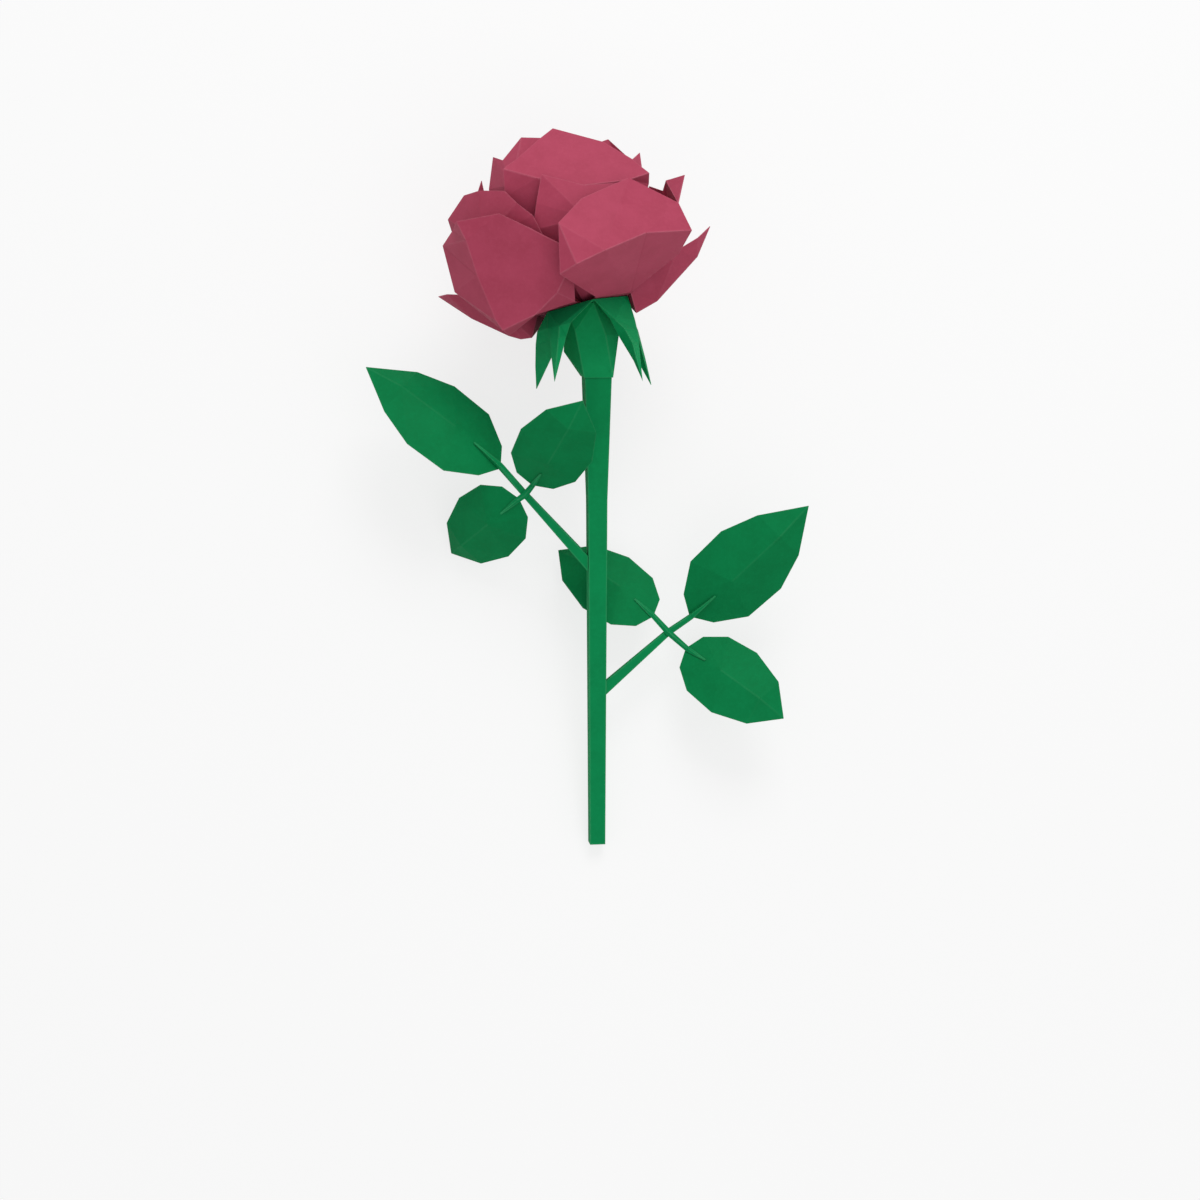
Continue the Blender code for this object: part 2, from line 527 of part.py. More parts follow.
def calyx(material):
    """One star-shaped sheet: a five-sided middle and five folded sepals that hang around the hip."""
    points = []
    for corner in range(len(SEPALS)):
        outward, _ = ring_angle(CALYX_TURN + 360.0 / len(SEPALS) * corner)
        points.append(outward * CALYX_RADIUS)
    faces = [tuple(range(len(SEPALS)))]
    for index, sepal in enumerate(SEPALS):
        rows = sepal[:-1]
        tip_corner = sepal[-1]
        first = index
        second = (index + 1) % len(SEPALS)
        start = len(points)
        for row in rows:
            points += [sepal_point(corner) for corner in row]
        points.append(sepal_point(tip_corner))
        faces += [(first, start, start + 1), (first, start + 1, second), (second, start + 1, start + 2)]
        for row in range(len(rows) - 1):
            low = start + 3 * row
            faces += [(low, low + 3, low + 4), (low, low + 4, low + 1)]
            faces += [(low + 1, low + 4, low + 5), (low + 1, low + 5, low + 2)]
        last = start + 3 * (len(rows) - 1)
        tip = start + 3 * len(rows)
        faces += [(last, tip, last + 1), (last + 1, tip, last + 2)]
    frame = head_frame()
    folded_sheet("calyx", [frame @ point for point in points], faces, material)


def square_ring(half, level, turn):
    """Four corners of a level square, counted anticlockwise seen from above."""
    corners = []
    for corner in range(4):
        angle = math.radians(45.0 + 90.0 * corner + turn)
        reach = half * math.sqrt(2.0)
        corners.append(Vector((STEM_X + reach * math.cos(angle), reach * math.sin(angle), level)))
    return corners


def hip(material):
    """The faceted funnel between the calyx and the stem, open above and below."""
    frame = head_frame()
    points = []
    for corner in range(HIP_TOP_CORNERS):
        outward, _ = ring_angle(HIP_TURN + 360.0 / HIP_TOP_CORNERS * corner)
        points.append(frame @ (outward * HIP_TOP_RADIUS + Vector((0.0, 0.0, -CARD / 2 - GLUE_GAP))))
    wide = HIP_TOP_RADIUS / HIP_PATTERN_RADIUS
    points += [Vector((x * wide, -y * wide, z)) for x, y, z in HIP_BELLY]
    points += square_ring(STEM_TOP_WIDTH / 2 + LAYER, HIP_LOW_Z, STEM_TURN)
    piece = make_object("hip", points, HIP_FACETS, material)
    tidy_normals(piece)
    thickness = piece.modifiers.new("Card thickness", "SOLIDIFY")
    thickness.thickness = CARD * MM
    thickness.offset = -1.0
    thickness.use_even_offset = True


def stem_half(level):
    """Half the outer width of the stem at a height."""
    levels = (STEM_END_Z, STEM_LOW_Z, STEM_MIDDLE_Z, STEM_UPPER_Z, HIP_LOW_Z, HIP_LOW_Z + STEM_TUCK)
    widths = (STEM_END_WIDTH, STEM_LOW_WIDTH, STEM_MIDDLE_WIDTH, STEM_UPPER_WIDTH, STEM_TOP_WIDTH,
              STEM_TOP_WIDTH - 2 * STEM_TUCK_INSET)
    return float(np.interp(level, levels, widths)) / 2


def stem(material):
    """A tapered square tube of one glued sheet, tucked into the hip above and closed flat below."""
    levels = (STEM_END_Z, STEM_LOW_Z, STEM_MIDDLE_Z, STEM_UPPER_Z, HIP_LOW_Z, HIP_LOW_Z + STEM_TUCK)
    points = []
    for level in levels:
        points += square_ring(stem_half(level), level, STEM_TURN)
    inner_start = len(points)
    for level in levels:
        inside = level + CARD if level == STEM_END_Z else level
        points += square_ring(stem_half(level) - CARD, inside, STEM_TURN)
    faces = [(3, 2, 1, 0)]
    faces.append((inner_start, inner_start + 1, inner_start + 2, inner_start + 3))
    for row in range(len(levels) - 1):
        for corner in range(4):
            following = (corner + 1) % 4
            low = 4 * row
            faces.append((low + corner, low + following, low + 4 + following, low + 4 + corner))
            low += inner_start
            faces.append((low + following, low + corner, low + 4 + corner, low + 4 + following))
    rim = 4 * (len(levels) - 1)
    inner_rim = inner_start + rim
    for corner in range(4):
        following = (corner + 1) % 4
        faces.append((rim + corner, rim + following, inner_rim + following, inner_rim + corner))
    make_object("stem", points, faces, material)


def leaf_frame(base, heading, lift, roll):
    """Placement of a leaf: X along its midrib, Y to its left, Z out of its face towards the viewer.

    heading is the angle of the midrib in the picture plane, lift turns its tip towards the viewer
    and roll turns the leaf about its midrib.
    """
    h = math.radians(heading)
    e = math.radians(lift)
    r = math.radians(roll)
    along = Vector((math.cos(h) * math.cos(e), -math.sin(e), math.sin(h) * math.cos(e)))
    level_left = Vector((-math.sin(h), 0.0, math.cos(h)))
    level_face = along.cross(level_left)
    left = level_left * math.cos(r) + level_face * math.sin(r)
    face = along.cross(left)
    rows = [(along[i], left[i], face[i], base[i]) for i in range(3)]
    return Matrix(rows + [(0.0, 0.0, 0.0, 1.0)])


def leaf(name, frame, length, half_width, pattern, material):
    """A folded leaf whose midrib is a raised fold; it lies one glue gap under its stalk."""
    points = [Vector((0.0, 0.0, 0.0))]
    for share, width in pattern:
        points.append(Vector((share * length, width * half_width, 0.0)))
    points.append(Vector((length, 0.0, -LEAF_TIP_DROP)))
    for share, width in reversed(pattern):
        points.append(Vector((share * length, -width * half_width, 0.0)))
    near = len(points)
    points.append(Vector((LEAF_FOLD_NEAR * length, 0.0, LEAF_RIDGE)))
    points.append(Vector((LEAF_FOLD_FAR * length, 0.0, LEAF_FAR_RIDGE)))
    far = near + 1
    faces = [(near, 1, 0), (near, 2, 1), (near, 3, 2), (near, far, 3), (far, 4, 3), (far, 5, 4)]
    faces += [(near, 0, 9), (near, 9, 8), (near, 8, 7), (near, 7, far), (far, 7, 6), (far, 6, 5)]
    folded_sheet(name, [frame @ point for point in points], faces, material)


def ridge_point(frame, distance, length, above):
    """A point over the raised midrib of a leaf, at a distance from the leaf's base."""
    rise = LEAF_RIDGE * distance / (LEAF_FOLD_NEAR * length)
    return frame @ Vector((distance, 0.0, rise + above))


def rod(name, root, cross, leaf_placement, material):
    """A hollow square spike: open where it is glued to the stem, pointed on the end leaf's midrib."""
    face = Vector((0.0, -1.0, 0.0))
    leaf_face = Vector([leaf_placement[i][2] for i in range(3)])
    over = ROD_LEAF_WIDTH / 2 + LAYER
    over_tip = ROD_TIP_WIDTH / 2 + LAYER
    foot = ridge_point(leaf_placement, ROD_FOOT, END_LEAF_LENGTH, over)
    tip = ridge_point(leaf_placement, ROD_SPIKE, END_LEAF_LENGTH, over_tip)
    path = [root, cross, foot, tip]
    widths = [ROD_ROOT_WIDTH, ROD_CROSS_WIDTH, ROD_LEAF_WIDTH, ROD_TIP_WIDTH]
    normals = [face, face, leaf_face, leaf_face]
    outer = []
    inner = []
    for index, centre in enumerate(path):
        before = path[max(index - 1, 0)]
        after = path[min(index + 1, len(path) - 1)]
        along = (after - before).normalized()
        side = along.cross(normals[index]).normalized()
        out = side.cross(along).normalized()
        half = widths[index] / 2
        wall = max(half - CARD, half * ROD_THINNEST_WALL_SHARE)
        outer += [centre + (side * a + out * b) * half for a, b in SQUARE_CORNERS]
        inner += [centre + (side * a + out * b) * wall for a, b in SQUARE_CORNERS]
    direction = (path[1] - path[0]).normalized()
    for corner in range(4):
        outer[corner] = meet_stem(outer[corner], direction, root.x)
        inner[corner] = meet_stem(inner[corner], direction, root.x)
    inner = inner[:12]
    points = outer + inner
    deep = len(outer)
    faces = [(12, 13, 14, 15), (deep + 8, deep + 9, deep + 10, deep + 11)]
    for row in range(3):
        for corner in range(4):
            following = (corner + 1) % 4
            low = 4 * row
            faces.append((low + corner, low + following, low + 4 + following, low + 4 + corner))
    for row in range(2):
        for corner in range(4):
            following = (corner + 1) % 4
            low = deep + 4 * row
            faces.append((low + following, low + corner, low + 4 + corner, low + 4 + following))
    for corner in range(4):
        following = (corner + 1) % 4
        faces.append((corner, following, deep + following, deep + corner))
    piece = make_object(name, points, faces, material)
    tidy_normals(piece)


def tidy_normals(piece):
    """Turns all faces of a closed piece outwards."""
    shell = bmesh.new()
    shell.from_mesh(piece.data)
    bmesh.ops.recalc_face_normals(shell, faces=shell.faces)
    shell.to_mesh(piece.data)
    shell.free()


def meet_stem(point, direction, side):
    """Slides a point along a direction until it stands one glue gap off the stem's side face."""
    turn = math.radians(STEM_TURN)
    sign = 1.0 if side > 0 else -1.0
    for _ in range(STEM_FITTING_STEPS):
        taper = (stem_half(point.z + 1.0) - stem_half(point.z - 1.0)) / 2.0
        normal = Vector((sign * math.cos(turn), sign * math.sin(turn), -taper))
        reach = sign * ((point.x - STEM_X) * math.cos(turn) + point.y * math.sin(turn))
        distance = reach - stem_half(point.z) - GLUE_GAP
        point = point - direction * (distance / direction.dot(normal))
    return point


def stalk(name, root, cross, first, second, material):
    """A narrow strip folded along its middle, laid over the rod, with a pointed end on each leaflet."""
    along = (cross - root).normalized()
    side = along.cross(Vector((0.0, -1.0, 0.0))).normalized()
    face = side.cross(along).normalized()
    centre = cross + face * (ROD_CROSS_WIDTH / 2 + LAYER)
    rows = []
    for placement, order in ((first, 1), (second, -1)):
        leaf_face = Vector([placement[i][2] for i in range(3)])
        tip = ridge_point(placement, STALK_SPIKE, SIDE_LEAF_LENGTH, LAYER)
        foot = ridge_point(placement, STALK_FOOT, SIDE_LEAF_LENGTH, LAYER)
        ends = [(tip, STALK_TIP_HALF_WIDTH, leaf_face), (foot, STALK_FOOT_HALF_WIDTH, leaf_face)]
        if order > 0:
            rows += ends + [(centre, STALK_HALF_WIDTH, face)]
        else:
            rows += ends[::-1]
    points = []
    for index, (middle, half, normal) in enumerate(rows):
        before = rows[max(index - 1, 0)][0]
        after = rows[min(index + 1, len(rows) - 1)][0]
        along = (after - before).normalized()
        side = along.cross(normal).normalized()
        out = side.cross(along).normalized()
        ridge = STALK_RIDGE * half / STALK_HALF_WIDTH
        points += [middle - side * half, middle + out * ridge, middle + side * half]
    faces = []
    for row in range(len(rows) - 1):
        low = 3 * row
        faces.append((low, low + 1, low + 4, low + 3))
        faces.append((low + 1, low + 2, low + 5, low + 4))
    folded_sheet(name, points, faces, material)


def branches(leaf_material, stem_material):
    """Both side branches: a rod from the stem, an end leaf and two side leaves on a crossing stalk."""
    for side, parts in BRANCHES.items():
        cross = Vector(parts["cross"])
        end = leaf_frame(Vector(parts["end_leaf"][0]), *parts["end_leaf"][1:])
        leaf(side + "_end_leaf", end, END_LEAF_LENGTH, END_LEAF_HALF_WIDTH, END_LEAF_PATTERN, leaf_material)
        rod(side + "_branch_rod", Vector(parts["root"]), cross, end, stem_material)
        placements = []
        for name, placing in parts["side_leaves"]:
            placement = leaf_frame(Vector(placing[0]), *placing[1:])
            placements.append(placement)
            leaf(name, placement, SIDE_LEAF_LENGTH, SIDE_LEAF_HALF_WIDTH, SIDE_LEAF_PATTERN, leaf_material)
        first, second = placements
        stalk(side + "_leaf_stalk", Vector(parts["root"]), cross, first, second, stem_material)


def centre_of_mass(pieces):
    """Volume centre of the finished pieces, in metres, and all their corners."""
    graph = bpy.context.evaluated_depsgraph_get()
    total = 0.0
    moment = Vector()
    corners = []
    for piece in pieces:
        finished = piece.evaluated_get(graph)
        mesh = finished.to_mesh()
        mesh.calc_loop_triangles()
        for triangle in mesh.loop_triangles:
            a, b, c = (mesh.vertices[index].co for index in triangle.vertices)
            volume = a.dot(b.cross(c)) / 6.0
            total += volume
            moment += volume * (a + b + c) / 4.0
        corners += [vertex.co.copy() for vertex in mesh.vertices]
        finished.to_mesh_clear()
    return moment / total, corners


def resting_placement(pieces):
    """Lays the flower on its back: on the facet of its convex hull that faces away from the viewer
    and has the centre of mass over it."""
    centre, corners = centre_of_mass(pieces)
    hull = bmesh.new()
    for corner in corners:
        hull.verts.new(corner)
    found = bmesh.ops.convex_hull(hull, input=hull.verts)
    bmesh.ops.delete(hull, geom=list(set(found["geom_interior"] + found["geom_unused"])), context="VERTS")
    bmesh.ops.recalc_face_normals(hull, faces=hull.faces)
    hull.faces.ensure_lookup_table()
    best = None
    for facet in hull.faces:
        normal = facet.normal
        if normal.y < REST_LEAST_BACKWARD:
            continue
        foot = centre + normal * (facet.verts[0].co - centre).dot(normal)
        inside = True
        for loop in facet.loops:
            start = loop.vert.co
            edge = loop.link_loop_next.vert.co - start
            if edge.cross(foot - start).dot(normal) < -REST_TOLERANCE:
                inside = False
        if inside and (best is None or normal.y > best.y):
            best = normal.copy()
    hull.free()
    on_back = Matrix.Rotation(math.radians(-90.0), 3, "X")
    settle = (on_back @ best).rotation_difference(Vector((0.0, 0.0, -1.0))).to_matrix()
    turn = settle @ on_back
    placed = [turn @ corner for corner in corners]
    low = [min(point[axis] for point in placed) for axis in range(3)]
    high = [max(point[axis] for point in placed) for axis in range(3)]
    shift = Vector((-(low[0] + high[0]) / 2, -(low[1] + high[1]) / 2, -low[2]))
    return Matrix.Translation(shift) @ turn.to_4x4()


def main():
    for leftover in list(bpy.data.objects):
        bpy.data.objects.remove(leftover, do_unlink=True)
    crimson = card_material("crimson_card", CRIMSON)
    deep = card_material("deep_crimson_card", DEEP_CRIMSON)
    leaf_green = card_material("leaf_green_card", LEAF_GREEN)
    stem_green = card_material("stem_green_card", STEM_GREEN)
    outer_petals(crimson)
    middle_petals(crimson)
    inner_petals(crimson)
    bud_petals(deep)
    bud_core(deep)
    calyx(stem_green)
    hip(stem_green)
    stem(stem_green)
    branches(leaf_green, stem_green)
    pieces = list(bpy.data.objects)
    placement = resting_placement(pieces)
    for piece in pieces:
        piece.matrix_world = placement


main()
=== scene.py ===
"""Looks of the folded paper rose: creased card with pale cut edges, worn folds and paper grain.

Every visible piece is a refined copy of its CAD solid, in the same place and of the same form: flat
facets are joined, each fold gets a small rounded edge, and each facet carries the distance to its own
folds and to the cut edge of the sheet, which the card materials read.
"""
import json
import math

import bmesh
import bpy
import numpy as np
from mathutils import Matrix, Vector


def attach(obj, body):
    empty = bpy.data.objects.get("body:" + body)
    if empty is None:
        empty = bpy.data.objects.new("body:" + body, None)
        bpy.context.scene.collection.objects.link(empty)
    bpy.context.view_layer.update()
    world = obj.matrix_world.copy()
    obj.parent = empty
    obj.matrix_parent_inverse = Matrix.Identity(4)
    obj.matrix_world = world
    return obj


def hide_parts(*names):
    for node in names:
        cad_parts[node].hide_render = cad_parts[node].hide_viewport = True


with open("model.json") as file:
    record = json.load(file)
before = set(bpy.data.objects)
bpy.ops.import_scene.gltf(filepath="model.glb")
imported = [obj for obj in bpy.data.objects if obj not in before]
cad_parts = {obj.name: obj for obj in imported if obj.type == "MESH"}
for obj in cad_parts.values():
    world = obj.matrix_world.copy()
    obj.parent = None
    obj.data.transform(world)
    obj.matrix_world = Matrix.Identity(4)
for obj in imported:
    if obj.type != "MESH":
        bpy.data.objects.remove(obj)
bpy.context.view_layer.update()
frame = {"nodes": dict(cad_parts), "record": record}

# Sheet, in metres
CARD = 0.0004
NARROW_FACE_CARDS = 1.5
MERGE_DISTANCE = 1e-6
SHORTEST_SIDE = 1e-9
FOLD_ROUNDING = 0.00022
FOLD_SEGMENTS = 2
FOLD_PROFILE = 0.5
FAR = 1.0

# Turns of the card: what counts as flat, what is rounded, and which folds show faintly and strongly
FLAT_ANGLE = math.radians(1.2)
ROUNDED_ANGLE = math.radians(7.0)
FAINT_FOLD = math.radians(15.0)
STRONG_FOLD = math.radians(70.0)

# Camera: place, view direction and up direction, with the lens that fits the photograph
CAMERA_PLACE = (-0.14968, -0.22773, 1.54093)
CAMERA_LOOK = (0.10423, 0.10849, -0.98862)
CAMERA_UP = (0.00179, 0.99401, 0.10927)
CAMERA_LENS = 75.03
CAMERA_SENSOR = 36.0
CAMERA_REACH = 50.0

# Light
KEY_WATTS = 14.5
KEY_SIZE = 0.9
KEY_PLACE = (0.2, 1.25, 1.4)
FILL_WATTS = 6.0
FILL_SIZE = 1.6
FILL_PLACE = (0.3, -0.9, 1.6)
SKY_STRENGTH = 0.48
BACKGROUND_STRENGTH = 1.0
WHITE = (1.0, 1.0, 1.0, 1.0)

# Floor
FLOOR_HALF = 6.0
FLOOR_PAINT = (0.93, 0.93, 0.93, 1.0)
FLOOR_ROUGHNESS = 0.9
FLOOR_SHINE = 0.1
FLOOR_WHITENING = 0.75
FLOOR_WHITE_STRENGTH = 1.0

# Card colours
# Each card has a main, a lighter and a darker colour. The darker one gives both the darker cloudy tone
# and the painted shade in inward folds.
CRIMSON = (0.47, 0.060, 0.118)
CRIMSON_LIGHT = (0.52, 0.085, 0.150)
CRIMSON_DARK = (0.40, 0.046, 0.092)
CRIMSON_CORE = (0.66, 0.24, 0.31)
LEAF_GREEN = (0.0, 0.225, 0.066)
LEAF_GREEN_LIGHT = (0.004, 0.275, 0.088)
LEAF_GREEN_DARK = (0.0, 0.185, 0.052)
STEM_GREEN = (0.0, 0.265, 0.080)
STEM_GREEN_LIGHT = (0.006, 0.320, 0.105)
STEM_GREEN_DARK = (0.0, 0.220, 0.066)
# The calyx and hip are the same card as the stem. Their greens are painted lighter than the stem's, as
# painted light that makes up for the shade the head casts on them.
CALYX_PAINTED_LIGHT_GREEN = (0.004, 0.335, 0.105)
CALYX_PAINTED_LIGHT_GREEN_PALE = (0.012, 0.400, 0.140)
CALYX_PAINTED_LIGHT_GREEN_DEEP = (0.0, 0.280, 0.084)
GREEN_CORE = (0.10, 0.44, 0.21)
CALYX_PIECES = ("calyx", "hip")

# Card surface
CRIMSON_SHINE = 0.22
GREEN_SHINE = 0.10
CARD_ROUGHNESS = 0.66
DEEP_CRIMSON_ROUGHNESS = 0.70
FOLD_WEAR = 0.24
LIGHT_FOLD_WEAR = 0.20

# Patterns in the card: width of a grain in metres, detail and roughness
CLOUDS = (0.016, 3.0, 0.6)
MOTTLE = (0.0026, 3.0, 0.65)
FIBRES = (0.0008, 4.0, 0.7)
GRAIN = (0.00028, 2.0, 0.6)
WEAR_PATCHES = (0.0045, 4.0, 0.7)
FIBRE_TURN = (0.5, 0.35, 0.7)
FIBRE_STRETCH = (1.0, 0.22, 0.6)
PATTERN_MIDDLE = 0.5

# Where each pattern starts and ends its rise
CLOUD_RISE = (0.30, 0.70)
MOTTLE_RISE = (0.40, 0.80)
FIBRE_RISE = (0.55, 0.80)
WEAR_RISE = (0.25, 0.65)
SCUFF_RISE = (0.45, 0.78)

# Lines along folds and cut edges, in metres. The core share of a fold line's width has its full
# strength, and the marks of a cut edge fade between two distances from it.
LINE_WANDER = 0.0003
LINE_CORE_SHARE = 0.3
RIDGE_WIDTH = 0.00062
# Width of the painted shade line along inward folds
VALLEY_SHADE_WIDTH = 0.0013
RAW_EDGE = (0.00004, 0.00030)
RAW_WANDER_SHARE = 0.5
SCUFFED_EDGE = (0.0002, 0.0012)

# Shares with which each mark takes over the colour
LEAST_COLOUR_SHARE = 0.35
CLOUD_SHARE = 0.55
MOTTLE_SHARE = 0.28
FIBRE_SHARE = 0.20
# Painted shade: how far the darker line in inward folds takes over the colour
VALLEY_SHADE_SHARE = 0.6
LEAST_WEAR_SHARE = 0.4
WEAR_PATCH_SHARE = 0.6
SCUFF_SHARE = 0.16
RAW_SHARE = 0.24

# What each pattern adds to the roughness and to the relief
MOTTLE_ROUGHNESS = 0.16
GRAIN_ROUGHNESS = 0.10
RAW_ROUGHNESS = 0.12
CLOUD_RELIEF = 0.6
MOTTLE_RELIEF = 0.25
FIBRE_RELIEF = 0.12
GRAIN_RELIEF = 0.05
RELIEF_STRENGTH = 0.35
RELIEF_DEPTH = 0.0005

# Sockets of the Mix node for colours, which share their names with those for numbers
MIX_SHARE = 0
MIX_FIRST_COLOUR = 6
MIX_SECOND_COLOUR = 7
MIX_COLOUR_RESULT = 2


class Shade:
    """One socket of a material. Sums and products of shades add Math nodes."""

    def __init__(self, finish, socket):
        self.finish = finish
        self.socket = socket

    def maths(self, operation, *others):
        """Adds a Math node that takes this shade first."""
        values = dict(enumerate((self,) + others))
        return self.finish.node("ShaderNodeMath", {"operation": operation}, values)

    def __add__(self, other):
        return self.maths("ADD", other)

    __radd__ = __add__

    def __mul__(self, other):
        return self.maths("MULTIPLY", other)

    __rmul__ = __mul__

    def __sub__(self, other):
        return self.maths("SUBTRACT", other)

    def __rsub__(self, other):
        return self.finish.node("ShaderNodeMath", {"operation": "SUBTRACT"}, {0: other, 1: self})

    def least(self, other):
        """The smaller of two shades."""
        return self.maths("MINIMUM", other)

    def most(self, other):
        """The larger of two shades."""
        return self.maths("MAXIMUM", other)

    def rising(self, low, high):
        """0 below low, 1 above high and a smooth rise between them."""
        return self.finish.node(
            "ShaderNodeMapRange",
            {"interpolation_type": "SMOOTHSTEP"},
            {"Value": self, "From Min": low, "From Max": high},
        )


class Finish:
    """A material that is being made, with its Principled shader as surface."""

    def __init__(self, name):
        self.material = bpy.data.materials.new(name)
        self.material.use_nodes = True
        self.tree = self.material.node_tree
        self.surface = self.tree.nodes["Principled BSDF"]

    def node(self, kind, settings, sockets, output=0):
        """Adds one node with its settings and its socket values or links, and gives one output."""
        node = self.tree.nodes.new(kind)
        for key, value in settings.items():
            setattr(node, key, value)
        for key, value in sockets.items():
            self.feed(node.inputs[key], value)
        return Shade(self, node.outputs[output])

    def feed(self, socket, value):
        """Links a shade to a socket, or sets the socket to a plain value."""
        if isinstance(value, Shade):
            self.tree.links.new(value.socket, socket)
        else:
            socket.default_value = value

    def noise(self, place, size, detail, roughness):
        """Noise whose grains are about size metres wide."""
        return self.node(
            "ShaderNodeTexNoise",
            {},
            {"Vector": place, "Scale": 1.0 / size, "Detail": detail, "Roughness": roughness},
        )

    def blend(self, share, first, second):
        """Mixes two colours, each a triple or a shade."""
        first, second = (c if isinstance(c, Shade) else (*c, 1.0) for c in (first, second))
        return self.node(
            "ShaderNodeMix",
            {"data_type": "RGBA"},
            {MIX_SHARE: share, MIX_FIRST_COLOUR: first, MIX_SECOND_COLOUR: second},
            MIX_COLOUR_RESULT,
        )

    def triple(self, attribute):
        """The three numbers that a corner of a mesh carries under one name."""
        carried = self.node("ShaderNodeAttribute", {"attribute_name": attribute}, {}, "Vector")
        split = self.tree.nodes.new("ShaderNodeSeparateXYZ")
        self.feed(split.inputs[0], carried)
        return [Shade(self, socket) for socket in split.outputs]


def fold_line(gaps, powers, wander, width):
    """A line along the folds of a facet, as strong as the strongest fold in reach."""
    core = width * LINE_CORE_SHARE
    lines = [(1.0 - (gap + wander).rising(core, width)) * power for gap, power in zip(gaps, powers)]
    return lines[0].most(lines[1]).most(lines[2])


def card(name, colour, light, dark, core, fold_wear, roughness, shine):
    """Matt card dyed on both faces.

    Cloudy tone changes one or two centimetres wide, a finer mottle and fibres, paler worn lines on
    outward folds, painted shade as darker lines in inward folds and a pale raw core on cut edges.
    """
    finish = Finish(name)
    place = finish.node("ShaderNodeTexCoord", {}, {}, "Object")
    clouds = finish.noise(place, *CLOUDS)
    mottle = finish.noise(place, *MOTTLE)
    stretched = finish.node(
        "ShaderNodeMapping", {}, {"Vector": place, "Rotation": FIBRE_TURN, "Scale": FIBRE_STRETCH}
    )
    fibres = finish.noise(stretched, *FIBRES)
    grain = finish.noise(place, *GRAIN)
    patches = finish.noise(place, *WEAR_PATCHES)

    gaps = finish.triple("fold_gap")
    wander = (patches - PATTERN_MIDDLE) * LINE_WANDER
    ridge = fold_line(gaps, finish.triple("ridge_power"), wander, RIDGE_WIDTH)
    # Painted shade: a darker line along each inward fold
    valley_shade = fold_line(gaps, finish.triple("valley_shade_power"), wander, VALLEY_SHADE_WIDTH)
    cut_gaps = finish.triple("cut_gap")
    cut = cut_gaps[0].least(cut_gaps[1]).least(cut_gaps[2])

    worn = ridge * (patches.rising(*WEAR_RISE) * WEAR_PATCH_SHARE + LEAST_WEAR_SHARE) * fold_wear
    raw = 1.0 - (cut + wander * RAW_WANDER_SHARE).rising(*RAW_EDGE)
    scuffed = (1.0 - (cut + wander).rising(*SCUFFED_EDGE)) * patches.rising(*SCUFF_RISE) * SCUFF_SHARE

    tone = finish.blend(clouds.rising(*CLOUD_RISE) * CLOUD_SHARE + LEAST_COLOUR_SHARE, dark, colour)
    tone = finish.blend(mottle.rising(*MOTTLE_RISE) * MOTTLE_SHARE, tone, light)
    tone = finish.blend(fibres.rising(*FIBRE_RISE) * FIBRE_SHARE, tone, light)
    # Painted shade in the inward folds
    tone = finish.blend(valley_shade * VALLEY_SHADE_SHARE, tone, dark)
    tone = finish.blend(worn, tone, core)
    tone = finish.blend(scuffed, tone, core)
    tone = finish.blend(raw * RAW_SHARE, tone, core)
    finish.feed(finish.surface.inputs["Base Color"], tone)

    uneven = roughness + (mottle - PATTERN_MIDDLE) * MOTTLE_ROUGHNESS
    uneven = uneven + (grain - PATTERN_MIDDLE) * GRAIN_ROUGHNESS + raw * RAW_ROUGHNESS
    finish.feed(finish.surface.inputs["Roughness"], uneven)
    relief = clouds * CLOUD_RELIEF + mottle * MOTTLE_RELIEF + fibres * FIBRE_RELIEF
    relief = relief + grain * GRAIN_RELIEF
    bump = finish.node(
        "ShaderNodeBump", {}, {"Height": relief, "Strength": RELIEF_STRENGTH, "Distance": RELIEF_DEPTH}
    )
    finish.feed(finish.surface.inputs["Normal"], bump)
    finish.surface.inputs["Metallic"].default_value = 0.0
    finish.surface.inputs["Specular IOR Level"].default_value = shine
    return finish.material


def merged_sheet(node):
    """A bmesh copy of a CAD node with its loose triangles merged and its flat facets joined."""
    sheet = bmesh.new()
    sheet.from_mesh(frame["nodes"][node].data)
    bmesh.ops.remove_doubles(sheet, verts=sheet.verts, dist=MERGE_DISTANCE)
    bmesh.ops.dissolve_limit(sheet, angle_limit=FLAT_ANGLE, verts=sheet.verts, edges=sheet.edges)
    return sheet


def mark_cut_faces(sheet):
    """Flags the narrow faces round a sheet, where its thickness shows.

    A face is narrow where its area over its longest side is under one and a half sheet thicknesses.
    """
    flag = sheet.faces.layers.int.new("cut_face")
    for face in sheet.faces:
        longest = max(edge.calc_length() for edge in face.edges)
        face[flag] = int(face.calc_area() / longest < CARD * NARROW_FACE_CARDS)
    return flag


def round_folds(sheet, flag):
    """Bevels each fold between two broad faces and notes on each strip how far its fold turns.

    A fold's strip has two faces, so the turn beside it is a quarter of the whole turn. Outward folds
    get a positive turn and inward folds a negative one.
    """
    turn = sheet.faces.layers.float.new("fold_turn")
    folds = [
        edge for edge in sheet.edges
        if len(edge.link_faces) == 2
        and edge.calc_face_angle(0.0) > ROUNDED_ANGLE
        and not any(face[flag] for face in edge.link_faces)
    ]
    made = bmesh.ops.bevel(
        sheet, geom=folds, offset=FOLD_ROUNDING, offset_type="OFFSET", segments=FOLD_SEGMENTS,
        profile=FOLD_PROFILE, affect="EDGES", clamp_overlap=True,
    )
    strips = set(made["faces"])
    for strip in strips:
        strip[flag] = 0
        sides = [edge for edge in strip.edges if any(face not in strips for face in edge.link_faces)]
        sides.sort(key=lambda edge: edge.calc_length())
        if sides:
            whole = sides[-1].calc_face_angle(0.0) * FOLD_SEGMENTS * 2
            strip[turn] = whole if sides[-1].is_convex else -whole
    return turn


def fold_power(turn):
    """How strongly a fold shows, from its whole turn: nothing when faint, 1 when strong."""
    share = (abs(turn) - FAINT_FOLD) / (STRONG_FOLD - FAINT_FOLD)
    return min(max(share, 0.0), 1.0)


